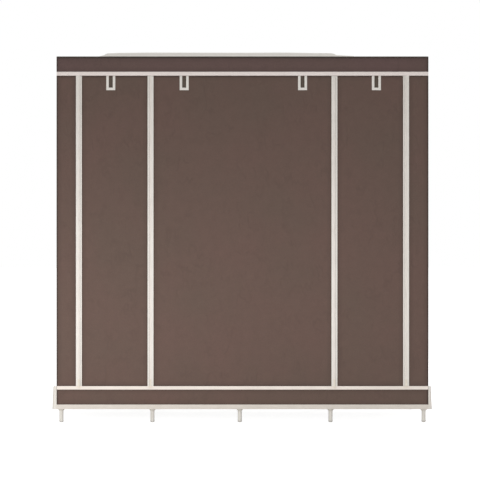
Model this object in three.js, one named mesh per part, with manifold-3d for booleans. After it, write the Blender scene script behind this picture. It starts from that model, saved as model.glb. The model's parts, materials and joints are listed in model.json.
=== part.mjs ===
// Portable fabric wardrobe: a tube frame on ten legs inside a zipped non-woven cover.
// Millimetres, +Z up. The origin is on the floor under the middle of the cover, and the front faces -Y.

import * as THREE from 'three';
import { mergeVertices } from 'three/addons/utils/BufferGeometryUtils.js';
import Module from 'manifold-3d';

const wasm = await Module();
wasm.setup();

// Cover
const coverWidth = 1700;
const coverDepth = 450;
const coverHeight = 1677;
const sheet = 2;            // fabric panels
const trim = 1.6;           // bindings and zip tapes
const seamGap = 0.3;        // between fixed pieces that lie together
const doorGap = 0.8;        // between a door and its neighbour
const headerHeight = 70.4;
const headerTrimHeight = 17.8;
const floorClearance = 63.5;
const hemHeight = 19.5;
const skirtHeight = 68.5;   // of the dark band that shows
const skirtTrimHeight = 16;
const hemStep = 4;          // how far a door's hem reaches above the skirt's trim
const endFlareTop = 14;     // the skirt's ends stand out past the corners
const endFlareBottom = 19;
const skirtTuck = 8;        // how far the skirt panel runs behind its hem and its trim

// Raised middle of the roof. Its ends are shares of half the cover's width.
const crownHeight = 24.5;
const crownLeftShare = -0.7565;
const crownRightShare = 0.5212;
const crownEndRun = 40;
const crownFrontRun = 60;
const crownSteps = 4;

// Doors and zips
const zipInset = 101;       // from the cover's side to the outer zip's line
const zipPastPole = 17;     // from the right inner pole's axis to the inner zip's line
const tapeWide = 19.2;      // the half that carries the chain
const tapeNarrow = 7.2;
const chainEdge = 6;        // from the zip's line to the split between the tape halves
const chainWidth = 4.4;
const chainThickness = 1.4;
const tapeDrop = 3.2;       // from a door's top edge to the end of its tapes

// Zip slider and pull
const sliderLength = 15;
const sliderShoulder = 10;
const sliderTail = 7.4;
const sliderPlate = 1.4;
const sliderRound = 1.6;
const sliderMouth = 1.1;    // how far the channel widens at the upper end
const sliderRest = 16;      // lower end of the slider above the hem's top edge
const bridgeLength = 8;
const bridgeWidth = 2.2;
const bridgeBar = 1.4;
const bridgeRoom = 2;
const pullLength = 34;
const pullEyeWidth = 8.4;
const pullNeck = 5;
const pullGripWidth = 8.8;
const pullThickness = 1.2;
const pullArm = 1.4;
const pullPlay = 0.4;       // from the pull's cross bar to the bridge
const eyeReach = 5.6;       // from the pivot to the lower end of the eye
const gripHoleWidth = 3.2;
const gripHoleLength = 9;
const gripHoleEnd = 3.2;    // from the pull's lower end

// Tie tabs, at shares of half the cover's width
const tabShares = [-0.7094, -0.3141, 0.3235, 0.7212];
const tabWidth = 41.4;
const tabLength = 61.8;
const tabBorder = 11.7;
const tabEndBorder = 13;
const tabRelief = 0.6;      // the middle lies this far behind the bound edge
const tabDrop = 4;          // below the door's top edge
const tabRound = 3;

// Frame. The inner poles stand at shares of half the cover's width.
const innerPoleShares = [-0.4865, -0.0147, 0.4753];
const poleInset = 15;       // from the cover's front or back to a pole's axis
const endPoleInset = 18.5;    // from the cover's side to the axis of the poles there
const tubeRadius = 8;
const tubeWall = 0.8;
const slip = 0.3;           // between a tube and what goes round it
const baseLevel = 105;
const topDrop = 32;
const tierCount = 4;
const collarRadius = 12;
const collarHeight = 40;
const socketRadius = 10.5;
const socketReach = 34;     // from the pole's axis
const capWall = 4;
const footRadius = 10.5;
const footRound = 5;
const footShoulder = 2;
const teeReach = 26;        // from the depth rail's axis

// Fabric shelves
const shelfSheet = 1.6;
const shelfNotch = 1.5;     // between a shelf's corner and the sockets

// Facets round a tube, a bend and a rounded corner
const poleFacets = 12;
const railFacets = 8;
const bendSteps = 3;
const cutOverrun = 1;

// Places that follow from the sizes above
const halfWidth = coverWidth / 2;
const halfDepth = coverDepth / 2;
const hemTop = floorClearance + hemHeight;
const skirtTrimBottom = hemTop + skirtHeight;
const doorHemTop = skirtTrimBottom + skirtTrimHeight;
const skirtTrimTop = doorHemTop - hemStep;
const headerBottom = coverHeight - headerHeight;
const headerTrimBottom = headerBottom - headerTrimHeight;
const roofUnderside = coverHeight - sheet;
const doorTop = headerTrimBottom - doorGap;
const doorBottom = skirtTrimTop + doorGap;
const frontFace = -halfDepth;
const frontInside = frontFace + sheet;
const trimBack = frontFace - seamGap;
const trimFace = trimBack - trim;
const hemBack = trimFace - seamGap;
const hemFace = hemBack - trim;
const chainFace = trimFace - chainThickness;
const poleDistance = halfDepth - poleInset;
const topLevel = coverHeight - topDrop;
const levelPitch = (topLevel - baseLevel) / tierCount;
const footHeight = baseLevel - collarHeight / 2 - seamGap;
const capTop = roofUnderside - seamGap;
const poleTop = capTop - capWall - seamGap;
const endPole = halfWidth - endPoleInset;
const columns = [-endPole, ...innerPoleShares.map((share) => halfWidth * share), endPole];
const sides = [-1, 1];
const outerZip = halfWidth - zipInset;
const innerZip = columns[3] + zipPastPole;
const crownLeft = halfWidth * crownLeftShare;
const crownRight = halfWidth * crownRightShare;

const fabricBrown = { color: 0x66544d, roughness: 0.95, metalness: 0 };
const fabricPale = { color: 0xd9d3ce, roughness: 0.95, metalness: 0 };
const trimCream = { color: 0xe8dfd7, roughness: 0.85, metalness: 0 };
const tubeWhite = { color: 0xefeae4, roughness: 0.4, metalness: 0.1 };
const plasticWhite = { color: 0xe6e1da, roughness: 0.5, metalness: 0 };
const lacquerCream = { color: 0xe9dfcf, roughness: 0.35, metalness: 0.3 };

const wardrobe = new THREE.Group();

function addPiece(name, geometry, look, parent = wardrobe) {
  const piece = new THREE.Mesh(geometry, new THREE.MeshStandardMaterial(look));
  piece.name = name;
  parent.add(piece);
  return piece;
}

// A closed geometry as a solid, without the flat triangles that a revolve leaves on its axis.
function solidOf(geometry) {
  const bare = geometry.clone();
  bare.deleteAttribute('normal');
  bare.deleteAttribute('uv');
  const merged = mergeVertices(bare);
  const corners = merged.index.array;
  const kept = [];
  for (let i = 0; i < corners.length; i += 3) {
    const [a, b, c] = corners.slice(i, i + 3);
    if (a !== b && b !== c && c !== a) kept.push(a, b, c);
  }
  return new wasm.Manifold(new wasm.Mesh({
    numProp: 3,
    vertProperties: new Float32Array(merged.attributes.position.array),
    triVerts: new Uint32Array(kept),
  }));
}

function geometryOf(solid) {
  const mesh = solid.getMesh();
  const geometry = new THREE.BufferGeometry();
  geometry.setAttribute('position', new THREE.BufferAttribute(mesh.vertProperties, 3));
  geometry.setIndex(new THREE.BufferAttribute(mesh.triVerts, 1));
  return geometry;
}

function joined(solids) {
  return solids.reduce((whole, solid) => whole.add(solid));
}

// A box between two corners
function slab(low, high) {
  const size = high.map((value, i) => value - low[i]);
  const middle = high.map((value, i) => (value + low[i]) / 2);
  return new THREE.BoxGeometry(...size).translate(...middle);
}

// A round bar of a radius from one point to another, along X, Y or Z
function bar(radius, from, to) {
  const start = new THREE.Vector3(...from);
  const run = new THREE.Vector3(...to).sub(start);
  const turn = new THREE.Quaternion().setFromUnitVectors(
    new THREE.Vector3(0, 1, 0),
    run.clone().normalize(),
  );
  const middle = start.add(run.clone().multiplyScalar(0.5));
  return new THREE.CylinderGeometry(radius, radius, run.length(), railFacets)
    .applyQuaternion(turn)
    .translate(middle.x, middle.y, middle.z);
}

// The corner radius of a faceted hole whose flats clear a round piece of this radius
function roomy(radius) {
  return radius / Math.cos(Math.PI / railFacets);
}

// An outline drawn in X and Z as seen from the front, given a thickness from one Y to another
function frontPlate(outline, back, face) {
  return new THREE.ExtrudeGeometry(outline, {
    depth: back - face,
    bevelEnabled: false,
    curveSegments: bendSteps,
  }).rotateX(Math.PI / 2).translate(0, back, 0);
}

function polygon(points) {
  return new THREE.Shape(points.map(([x, z]) => new THREE.Vector2(x, z)));
}

// A rectangle in X and Z with rounded lower corners
function tongue(width, top, bottom, round) {
  const half = width / 2;
  const outline = new THREE.Shape();
  outline.moveTo(-half, top);
  outline.lineTo(-half, bottom + round);
  outline.quadraticCurveTo(-half, bottom, -half + round, bottom);
  outline.lineTo(half - round, bottom);
  outline.quadraticCurveTo(half, bottom, half, bottom + round);
  outline.lineTo(half, top);
  outline.closePath();
  return outline;
}

// Poles: a tube pushed over a solid plastic foot, with the foot's rounded sole on the floor
function poleGeometry() {
  const bore = tubeRadius - tubeWall;
  const profile = [new THREE.Vector2(0, 0)];
  for (let step = 0; step <= bendSteps; step++) {
    const angle = (step / bendSteps) * (Math.PI / 2);
    profile.push(new THREE.Vector2(
      footRadius - footRound + footRound * Math.sin(angle),
      footRound - footRound * Math.cos(angle),
    ));
  }
  profile.push(
    new THREE.Vector2(footRadius, footHeight - footShoulder),
    new THREE.Vector2(footRadius - footShoulder, footHeight),
    new THREE.Vector2(tubeRadius, footHeight),
    new THREE.Vector2(tubeRadius, poleTop),
    new THREE.Vector2(bore, poleTop),
    new THREE.Vector2(bore, footHeight),
    new THREE.Vector2(0, footHeight),
  );
  const revolved = new THREE.LatheGeometry(profile, poleFacets).rotateX(Math.PI / 2);
  return geometryOf(solidOf(revolved));
}

// Connectors: a collar round each pole, with a socket for each rail that meets it there
function collar(x, y, level, top = level + collarHeight / 2) {
  return bar(collarRadius, [x, y, level - collarHeight / 2], [x, y, top]);
}

function collarBore(x, y, level, top) {
  const radius = roomy(tubeRadius + slip);
  return bar(radius, [x, y, level - collarHeight / 2 - cutOverrun], [x, y, top]);
}

// A flat frame of rails at one level, whose corners and crossings are connectors
function railFrame(level, places, capped) {
  const solids = [];
  const bores = [];
  const first = places[0];
  const last = places[places.length - 1];
  for (const side of sides) {
    const y = side * poleDistance;
    solids.push(bar(tubeRadius, [first, y, level], [last, y, level]));
    for (const x of places) {
      const top = level + collarHeight / 2;
      solids.push(collar(x, y, level, capped ? capTop : top));
      bores.push(collarBore(x, y, level, capped ? poleTop + seamGap : top + cutOverrun));
      const left = x === first ? x : x - socketReach;
      const right = x === last ? x : x + socketReach;
      solids.push(bar(socketRadius, [left, y, level], [right, y, level]));
      solids.push(bar(socketRadius, [x, y, level], [x, y - side * socketReach, level]));
    }
  }
  for (const x of places) {
    solids.push(bar(tubeRadius, [x, -poleDistance, level], [x, poleDistance, level]));
  }
  return { solids, bores };
}

function finishFrame({ solids, bores }) {
  return geometryOf(joined(solids.map(solidOf)).subtract(joined(bores.map(solidOf))));
}

// Tee sockets on the top depth rails hold the hanging rods
function addTees(frame) {
  const [, left, middle, right] = columns;
  const reaches = [[left, 1], [middle, -1], [middle, 1], [right, -1]];
  for (const [x, way] of reaches) {
    const mouth = x + way * teeReach;
    frame.solids.push(bar(collarRadius, [x, 0, topLevel], [mouth, 0, topLevel]));
    frame.bores.push(bar(
      roomy(tubeRadius + slip),
      [x + way * (tubeRadius + seamGap), 0, topLevel],
      [mouth + way * cutOverrun, 0, topLevel],
    ));
  }
}

function hangingRod(from, to) {
  const stop = tubeRadius + 2 * seamGap;
  return bar(tubeRadius, [from + stop, 0, topLevel], [to - stop, 0, topLevel]);
}

// A shelf: a sheet over the four rails of its bay, sewn into a sleeve round the front and rear ones
function shelf(level, from, to) {
  const under = level + tubeRadius + slip;
  const top = under + shelfSheet;
  const sleeveFrom = from + socketReach + shelfNotch;
  const sleeveTo = to - socketReach - shelfNotch;
  const sheetEnd = poleDistance - socketReach - shelfNotch;
  const whole = [
    slab([sleeveFrom, -poleDistance, under], [sleeveTo, poleDistance, top]),
    slab([from + seamGap, -sheetEnd, under], [to - seamGap, sheetEnd, top]),
  ];
  const bores = [];
  for (const side of sides) {
    const y = side * poleDistance;
    whole.push(bar(tubeRadius + slip + shelfSheet, [sleeveFrom, y, level], [sleeveTo, y, level]));
    bores.push(bar(
      roomy(tubeRadius + slip),
      [sleeveFrom - cutOverrun, y, level],
      [sleeveTo + cutOverrun, y, level],
    ));
  }
  return geometryOf(joined(whole.map(solidOf)).subtract(joined(bores.map(solidOf))));
}

// The roof: a sheet whose slack middle stands up behind the header
function crownRise(x, y) {
  const share = (run, length) => THREE.MathUtils.clamp(run / length, 0, 1);
  const ease = (run, length) => (1 - Math.cos(Math.PI * share(run, length))) / 2;
  const across = Math.min(ease(x - crownLeft, crownEndRun), ease(crownRight - x, crownEndRun));
  const along = Math.min(ease(y + halfDepth, crownFrontRun), ease(halfDepth - y, crownFrontRun));
  return crownHeight * across * along;
}

function roofGeometry() {
  const ramp = (start, run) => Array.from(
    { length: crownSteps + 1 },
    (_, i) => start + (run * i) / crownSteps,
  );
  const xs = [
    -halfWidth,
    ...ramp(crownLeft, crownEndRun),
    ...ramp(crownRight - crownEndRun, crownEndRun),
    halfWidth,
  ];
  const ys = [...ramp(-halfDepth, crownFrontRun), ...ramp(halfDepth - crownFrontRun, crownFrontRun)];
  const positions = [];
  const index = [];
  const rows = ys.length;
  const layer = xs.length * rows;
  for (const base of [roofUnderside, coverHeight]) {
    for (const x of xs) {
      for (const y of ys) positions.push(x, y, base + crownRise(x, y));
    }
  }
  const quad = (a, b, c, d) => index.push(a, b, c, a, c, d);
  for (let i = 0; i < xs.length - 1; i++) {
    for (let j = 0; j < rows - 1; j++) {
      const a = i * rows + j;
      const b = a + rows;
      quad(a, a + 1, b + 1, b);
      quad(layer + a, layer + b, layer + b + 1, layer + a + 1);
    }
  }
  const wall = (a, b) => quad(a, b, layer + b, layer + a);
  for (let i = 0; i < xs.length - 1; i++) {
    wall(i * rows, (i + 1) * rows);
    wall((i + 2) * rows - 1, (i + 1) * rows - 1);
  }
  for (let j = 0; j < rows - 1; j++) {
    wall(j + 1, j);
    wall(layer - rows + j, layer - rows + j + 1);
  }
  const geometry = new THREE.BufferGeometry();
  geometry.setAttribute('position', new THREE.Float32BufferAttribute(positions, 3));
  geometry.setIndex(index);
  return geometry;
}

// The binding along the lower edge of the header goes round all four sides
function headerBinding() {
  const reachX = halfWidth + seamGap;
  const reachY = halfDepth + seamGap;
  const outer = slab(
    [-reachX - trim, -reachY - trim, headerTrimBottom],
    [reachX + trim, reachY + trim, headerBottom],
  );
  const inner = slab(
    [-reachX, -reachY, headerTrimBottom - cutOverrun],
    [reachX, reachY, headerBottom + cutOverrun],
  );
  return geometryOf(solidOf(outer).subtract(solidOf(inner)));
}

// The skirt's frame: trim, flared ends and hem in one, stepped down where the doors' hems lie over it
function skirtBinding() {
  const step = outerZip - chainEdge;
  const top = halfWidth + endFlareTop;
  const bottom = halfWidth + endFlareBottom;
  const outline = polygon([
    [-bottom, floorClearance], [bottom, floorClearance], [top, doorHemTop], [step, doorHemTop],
    [step, skirtTrimTop], [-step, skirtTrimTop], [-step, doorHemTop], [-top, doorHemTop],
  ]);
  const opening = slab(
    [-halfWidth, trimFace - cutOverrun, hemTop],
    [halfWidth, trimBack + cutOverrun, skirtTrimBottom],
  );
  return geometryOf(solidOf(frontPlate(outline, trimBack, trimFace)).subtract(solidOf(opening)));
}

// A tape half with its chain, from one height to another. The chain lies on the zip's line.
function chainTape(zip, split, way, bottom, top) {
  const far = split + way * tapeWide;
  const tape = slab(
    [Math.min(split, far), trimFace, bottom],
    [Math.max(split, far), trimBack, top],
  );
  const chain = slab(
    [zip - chainWidth / 2, chainFace, bottom],
    [zip + chainWidth / 2, trimFace + seamGap, top],
  );
  return solidOf(tape).add(solidOf(chain));
}

function plainTape(split, way, bottom, top) {
  const far = split + way * tapeNarrow;
  return solidOf(slab(
    [Math.min(split, far), trimFace, bottom],
    [Math.max(split, far), trimBack, top],
  ));
}

// A door's hem hangs in front of the skirt's trim and is sewn to the door above it
function doorHem(from, to) {
  const apron = slab([from, hemFace, skirtTrimBottom], [to, hemBack, doorHemTop]);
  const seam = slab([from, hemFace, doorBottom], [to, trimBack, doorHemTop]);
  return solidOf(apron).add(solidOf(seam));
}

// Zip slider, drawn about the middle of its length with the tape's face at Y zero
function sliderGeometry() {
  const half = sliderLength / 2;
  const back = -seamGap;
  const face = -(chainThickness + 2 * seamGap + sliderPlate);
  const shield = new THREE.Shape();
  shield.moveTo(-sliderTail / 2, -half);
  shield.lineTo(sliderTail / 2, -half);
  shield.lineTo(sliderTail / 2, 0);
  shield.quadraticCurveTo(sliderTail / 2, half / 2, sliderShoulder / 2, half / 2);
  shield.lineTo(sliderShoulder / 2, half - sliderRound);
  shield.quadraticCurveTo(sliderShoulder / 2, half, sliderShoulder / 2 - sliderRound, half);
  shield.lineTo(sliderRound - sliderShoulder / 2, half);
  shield.quadraticCurveTo(-sliderShoulder / 2, half, -sliderShoulder / 2, half - sliderRound);
  shield.lineTo(-sliderShoulder / 2, half / 2);
  shield.quadraticCurveTo(-sliderTail / 2, half / 2, -sliderTail / 2, 0);
  shield.closePath();
  const channel = chainWidth / 2 + seamGap;
  const run = half + cutOverrun;
  const throat = polygon([
    [-channel, -run], [channel, -run], [channel, 0], [channel + sliderMouth, run],
    [-channel - sliderMouth, run], [-channel, 0],
  ]);
  const roofOfChannel = -(chainThickness + 2 * seamGap);
  const arch = new THREE.Shape();
  const rise = bridgeRoom + bridgeBar;
  const reach = bridgeLength / 2;
  arch.moveTo(-seamGap, -reach);
  arch.lineTo(rise - bridgeBar, -reach);
  arch.quadraticCurveTo(rise, -reach, rise, bridgeBar - reach);
  arch.lineTo(rise, reach - bridgeBar);
  arch.quadraticCurveTo(rise, reach, rise - bridgeBar, reach);
  arch.lineTo(-seamGap, reach);
  arch.closePath();
  const standing = new THREE.Matrix4().makeBasis(
    new THREE.Vector3(0, -1, 0),
    new THREE.Vector3(0, 0, 1),
    new THREE.Vector3(-1, 0, 0),
  );
  const bridge = new THREE.ExtrudeGeometry(arch, {
    depth: bridgeWidth,
    bevelEnabled: false,
    curveSegments: bendSteps,
  }).translate(0, 0, -bridgeWidth / 2).applyMatrix4(standing).translate(0, face, 0);
  const opening = reach - bridgeBar;
  const room = slab(
    [-bridgeWidth / 2 - cutOverrun, face - bridgeRoom, -opening],
    [bridgeWidth / 2 + cutOverrun, face, opening],
  );
  return geometryOf(
    solidOf(frontPlate(shield, back, face))
      .subtract(solidOf(frontPlate(throat, 0, roofOfChannel)))
      .add(solidOf(bridge).subtract(solidOf(room))),
  );
}

// Zip pull, drawn about the cross bar that lies under the slider's bridge
function pullGeometry() {
  const halfBar = (bridgeRoom - 2 * pullPlay) / 2;
  const eyeHalf = pullEyeWidth / 2;
  const gripHalf = pullGripWidth / 2;
  const neckHalf = pullNeck / 2;
  const eyeEnd = eyeReach + pullArm;
  const outline = new THREE.Shape();
  outline.moveTo(-eyeHalf, halfBar);
  outline.lineTo(-eyeHalf, -eyeEnd);
  outline.lineTo(-neckHalf, -eyeEnd - pullArm);
  outline.quadraticCurveTo(-gripHalf, -(eyeEnd + pullLength) / 2, -gripHalf, gripHalf - pullLength);
  outline.quadraticCurveTo(-gripHalf, -pullLength, 0, -pullLength);
  outline.quadraticCurveTo(gripHalf, -pullLength, gripHalf, gripHalf - pullLength);
  outline.quadraticCurveTo(gripHalf, -(eyeEnd + pullLength) / 2, neckHalf, -eyeEnd - pullArm);
  outline.lineTo(eyeHalf, -eyeEnd);
  outline.lineTo(eyeHalf, halfBar);
  outline.closePath();
  const inside = eyeHalf - pullArm;
  const holeBottom = gripHoleEnd - pullLength;
  const hole = gripHoleWidth / 2;
  const cutBack = pullThickness / 2 + cutOverrun;
  const eye = slab([-inside, -cutBack, -eyeReach], [inside, cutBack, -halfBar]);
  const gripHole = slab(
    [-hole, -cutBack, holeBottom],
    [hole, cutBack, holeBottom + gripHoleLength],
  );
  return geometryOf(
    solidOf(frontPlate(outline, pullThickness / 2, -pullThickness / 2))
      .subtract(solidOf(eye))
      .subtract(solidOf(gripHole)),
  );
}

// Tie tab: a bound edge round three sides, with the brown middle a little behind it
function tabGeometry() {
  const top = doorTop - tabDrop;
  const bottom = top - tabLength;
  const edge = tongue(tabWidth, top, bottom, tabRound);
  const half = tabWidth / 2 - tabBorder;
  const recess = slab(
    [-half, trimFace - cutOverrun, bottom + tabEndBorder],
    [half, trimFace + tabRelief, top + cutOverrun],
  );
  return geometryOf(solidOf(frontPlate(edge, trimBack, trimFace)).subtract(solidOf(recess)));
}

// Frame
const frame = new THREE.Group();
wardrobe.add(frame);

for (const [row, side] of [['front', -1], ['rear', 1]]) {
  columns.forEach((x, i) => {
    const pole = addPiece(`pole_${row}_${i + 1}`, poleGeometry(), tubeWhite, frame);
    pole.position.set(x, side * poleDistance, 0);
  });
}

addPiece('base_frame', finishFrame(railFrame(baseLevel, columns, false)), plasticWhite, frame);
const topParts = railFrame(topLevel, columns, true);
addTees(topParts);
addPiece('top_frame', finishFrame(topParts), plasticWhite, frame);

const columnPairs = { left: [columns[0], columns[1]], right: [columns[3], columns[4]] };
for (const [column, pair] of Object.entries(columnPairs)) {
  for (let tier = 1; tier < tierCount; tier++) {
    const level = baseLevel + tier * levelPitch;
    const ring = finishFrame(railFrame(level, pair, false));
    addPiece(`shelf_frame_${column}_${tier}`, ring, plasticWhite, frame);
  }
  for (let tier = 0; tier < tierCount; tier++) {
    const level = baseLevel + tier * levelPitch;
    addPiece(`shelf_${column}_${tier + 1}`, shelf(level, ...pair), fabricPale, frame);
  }
}
addPiece('shelf_middle_1', shelf(baseLevel, columns[1], columns[2]), fabricPale, frame);
addPiece('shelf_middle_2', shelf(baseLevel, columns[2], columns[3]), fabricPale, frame);
addPiece('hanging_rod_left', hangingRod(columns[1], columns[2]), tubeWhite, frame);
addPiece('hanging_rod_right', hangingRod(columns[2], columns[3]), tubeWhite, frame);

// Cover
const cover = new THREE.Group();
wardrobe.add(cover);

const panelTop = roofUnderside - seamGap;
const skirtPanelTop = skirtTrimBottom + skirtTuck;
const stripBottom = skirtPanelTop + seamGap;
const sideReach = halfDepth - sheet - seamGap;
const zipSplit = outerZip - chainEdge;
const stripInner = zipSplit + doorGap / 2;
const tapeEnd = headerTrimBottom - seamGap;

addPiece('roof', roofGeometry(), fabricPale, cover);
addPiece('back_panel', slab(
  [-halfWidth, halfDepth - sheet, floorClearance],
  [halfWidth, halfDepth, panelTop],
), fabricBrown, cover);
for (const [name, side] of [['left', -1], ['right', 1]]) {
  const inner = side * (halfWidth - sheet);
  const outer = side * halfWidth;
  addPiece(`side_panel_${name}`, slab(
    [Math.min(inner, outer), -sideReach, floorClearance],
    [Math.max(inner, outer), sideReach, panelTop],
  ), fabricBrown, cover);
  const near = side * stripInner;
  addPiece(`front_strip_${name}`, slab(
    [Math.min(near, outer), frontFace, stripBottom],
    [Math.max(near, outer), frontInside, tapeEnd],
  ), fabricBrown, cover);
  addPiece(`zip_tape_${name}`, geometryOf(
    chainTape(side * outerZip, side * stripInner, side, doorHemTop + seamGap, tapeEnd),
  ), trimCream, cover);
}
addPiece('header_band', slab(
  [-halfWidth, frontFace, headerTrimBottom],
  [halfWidth, frontInside, panelTop],
), fabricBrown, cover);
addPiece('skirt_panel', slab(
  [-halfWidth, frontFace, hemTop - skirtTuck],
  [halfWidth, frontInside, skirtPanelTop],
), fabricBrown, cover);
addPiece('header_binding', headerBinding(), trimCream, cover);
addPiece('skirt_binding', skirtBinding(), trimCream, cover);

// Doors: a panel, and a binding of its two tapes and its hem
const doors = new THREE.Group();
wardrobe.add(doors);

const tapeTop = doorTop - tapeDrop;
const edge = doorGap / 2;
const innerSplit = innerZip + chainEdge;

function addDoor(name, from, to, leftTape, rightTape) {
  addPiece(`${name}_panel`, slab(
    [from, frontFace, doorBottom],
    [to, frontInside, doorTop],
  ), fabricBrown, doors);
  const binding = joined([leftTape, rightTape, doorHem(from, to)]);
  addPiece(`${name}_binding`, geometryOf(binding), trimCream, doors);
}

const sideOuter = zipSplit - edge;
const sideInner = innerSplit + edge;
const middleReach = innerSplit - edge;
addDoor(
  'left_door', -sideOuter, -sideInner,
  plainTape(-sideOuter, 1, doorBottom, tapeTop),
  plainTape(-sideInner, -1, doorBottom, tapeTop),
);
addDoor(
  'middle_door', -middleReach, middleReach,
  chainTape(-innerZip, -middleReach, 1, doorBottom, tapeTop),
  chainTape(innerZip, middleReach, -1, doorBottom, tapeTop),
);
addDoor(
  'right_door', sideInner, sideOuter,
  plainTape(sideInner, 1, doorBottom, tapeTop),
  plainTape(sideOuter, -1, doorBottom, tapeTop),
);

// Zip sliders, each with its pull hanging from the bridge
const sliderHeight = doorHemTop + sliderRest + sliderLength / 2;
const bridgeFoot = trimFace - (chainThickness + 2 * seamGap + sliderPlate);
[-outerZip, -innerZip, innerZip, outerZip].forEach((x, i) => {
  const slider = addPiece(`zip_slider_${i + 1}`, sliderGeometry(), lacquerCream);
  slider.position.set(x, trimFace, sliderHeight);
  const pull = addPiece(`zip_pull_${i + 1}`, pullGeometry(), lacquerCream);
  pull.position.set(x, bridgeFoot - bridgeRoom / 2, sliderHeight);
});

tabShares.forEach((share, i) => {
  const tab = addPiece(`tie_tab_${i + 1}`, tabGeometry(), trimCream);
  tab.position.x = halfWidth * share;
});

export default wardrobe;
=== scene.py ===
"""Looks of the portable fabric wardrobe: cloth, trims, zips, tubes and connectors.

Metres, +Z up, the front faces -Y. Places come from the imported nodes.
"""

import json
import math

import bmesh
import bpy
from mathutils import Matrix, Vector, noise

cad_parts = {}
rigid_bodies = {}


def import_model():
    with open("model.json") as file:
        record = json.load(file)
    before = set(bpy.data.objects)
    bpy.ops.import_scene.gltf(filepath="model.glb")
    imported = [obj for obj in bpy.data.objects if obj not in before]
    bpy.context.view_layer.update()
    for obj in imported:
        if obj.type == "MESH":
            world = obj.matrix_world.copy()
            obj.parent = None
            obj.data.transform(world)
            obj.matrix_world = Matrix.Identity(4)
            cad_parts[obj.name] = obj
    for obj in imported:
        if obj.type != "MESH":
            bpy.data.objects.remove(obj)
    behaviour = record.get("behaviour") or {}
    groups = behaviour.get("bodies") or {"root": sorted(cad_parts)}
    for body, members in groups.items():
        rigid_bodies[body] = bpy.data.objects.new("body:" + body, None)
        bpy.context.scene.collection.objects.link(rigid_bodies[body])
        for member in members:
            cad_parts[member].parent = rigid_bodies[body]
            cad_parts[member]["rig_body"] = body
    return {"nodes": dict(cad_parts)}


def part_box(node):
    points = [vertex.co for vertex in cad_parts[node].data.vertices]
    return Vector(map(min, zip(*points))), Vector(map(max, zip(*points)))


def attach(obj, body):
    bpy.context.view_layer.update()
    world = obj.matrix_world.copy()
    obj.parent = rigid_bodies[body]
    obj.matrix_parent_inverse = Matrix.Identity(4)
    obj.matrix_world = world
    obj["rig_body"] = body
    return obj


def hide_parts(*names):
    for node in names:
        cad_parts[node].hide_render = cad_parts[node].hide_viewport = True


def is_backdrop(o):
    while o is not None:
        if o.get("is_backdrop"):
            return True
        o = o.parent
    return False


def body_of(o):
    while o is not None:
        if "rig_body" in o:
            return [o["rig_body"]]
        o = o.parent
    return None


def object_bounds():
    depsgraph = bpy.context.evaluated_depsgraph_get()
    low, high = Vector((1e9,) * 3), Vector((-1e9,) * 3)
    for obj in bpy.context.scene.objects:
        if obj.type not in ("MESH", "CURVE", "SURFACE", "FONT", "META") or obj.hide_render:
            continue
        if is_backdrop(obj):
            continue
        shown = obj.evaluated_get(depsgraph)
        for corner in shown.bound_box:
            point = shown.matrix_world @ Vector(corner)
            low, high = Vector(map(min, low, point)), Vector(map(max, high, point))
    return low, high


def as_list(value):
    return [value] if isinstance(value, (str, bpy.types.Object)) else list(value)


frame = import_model()
cad_low, cad_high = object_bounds()

# Cloth, tape and thread
cloth_thickness = 0.0009
cloth_step = 0.011
seam_reach = 0.03           # how far a seam's pull and the painted shade beside it show in the cloth
tape_thickness = 0.0014
tape_step = 0.024
tape_sway = 0.0002          # out from the cover, along a tape
lay = 0.0003                # between the cloth and a trim on it
edge_round = 0.0004         # of a tape's edges
seam_inset = 0.0021         # from a tape's edge to its row of stitches
groove_depth = 0.00025      # of the groove by a row of stitches
hem_bead = 0.0008           # of a hem's rolled lower edge
stitch_pitch = 0.0042
stitch_length = 0.0029
thread_width = 0.0006
sink = 0.0001               # of a stitch or a seam in what is under it

# Zip chain
tooth_pitch = 0.00145
tooth_reach = 0.0021
tooth_shift = 0.00025
coil_rise = 0.00066         # of the teeth's middles in front of the tape

# Tubes and connectors
tube_radius = 0.008
tube_wall = 0.0008
collar_radius = 0.012
collar_half = 0.02
socket_radius = 0.0105
socket_reach = 0.034
tee_reach = 0.026
tube_overlap = 0.01         # of a rail in its socket
slip = 0.0003               # between a tube and what it sits in
lip = 0.0012                # the softened edge of a mouth
bead_depth = 0.0005         # how far a collar's beads stand out
cap_bead, cap_rim = 0.006, 0.005    # from a cap's top down to its bead
mouth_length = 0.005        # of a socket's thicker mouth
mouth_slope = 0.0008
saddle_half = collar_radius + 0.002
rod_soft = 0.0006
mouth_depth = 0.0006        # how far it stands out
socket_hollow = 0.006       # what is seen of a socket's bore
round_sides = 28
arc_steps = 6               # of a quarter round
weld = 1e-6                 # points nearer than this become one

right = Vector((1, 0, 0))
back = Vector((0, 1, 0))
up = Vector((0, 0, 1))


# Camera

camera_lens = 90.08         # mm
camera_place = (-0.0114, -5.725, 0.8363)

camera_data = bpy.data.cameras.new("camera")
camera_data.lens = camera_lens
camera_data.sensor_width = 36
camera = bpy.data.objects.new("camera", camera_data)
camera.location = camera_place
camera.rotation_euler = (math.radians(90), 0, 0)
bpy.context.scene.collection.objects.link(camera)
bpy.context.scene.camera = camera


# Materials

wave_bands = 3.183          # of a wave texture in a metre, at scale 1


def linear(red, green, blue):
    """The renderer's value of a screen colour that is given from 0 to 255."""
    shares = [value / 255 for value in (red, green, blue)]
    return [
        *(s / 12.92 if s <= 0.04045 else ((s + 0.055) / 1.055) ** 2.4 for s in shares),
        1,
    ]


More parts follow.
